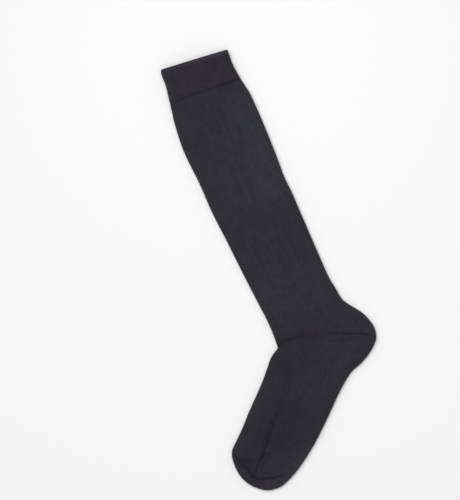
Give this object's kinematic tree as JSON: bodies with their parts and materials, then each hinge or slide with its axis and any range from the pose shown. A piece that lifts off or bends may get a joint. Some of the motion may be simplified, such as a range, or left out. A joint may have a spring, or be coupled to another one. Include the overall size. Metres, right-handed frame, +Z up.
{
  "type": "knee sock",
  "caption": "Dark knitted knee sock lying flat on its side, with a ribbed cuff, a plain leg, a heel pocket, a foot tube and a seamed toe cap.",
  "frame": {"origin": "on the floor, under the middle of the sock's bounding box", "axes": "+Y up the leg to the mouth, -X to the front of the leg and the toe, +Z up from the floor the sock lies on"},
  "size_m": [0.2226, 0.5252, 0.0095],
  "materials": {
    "ribbed_knit": "double-layer one-by-one rib in dark charcoal cotton blend, matte",
    "plain_knit": "fine plain knit in dark charcoal cotton blend, matte with a soft sheen",
    "heel_knit": "close plain knit in dark charcoal cotton blend, matte",
    "toe_knit": "close plain knit in dark charcoal cotton blend, matte"
  },
  "bodies": {
    "root": {"cuff": "ribbed_knit", "leg": "plain_knit", "heel": "heel_knit", "instep": "plain_knit", "sole": "plain_knit", "toe": "toe_knit"}
  },
  "joints": []
}
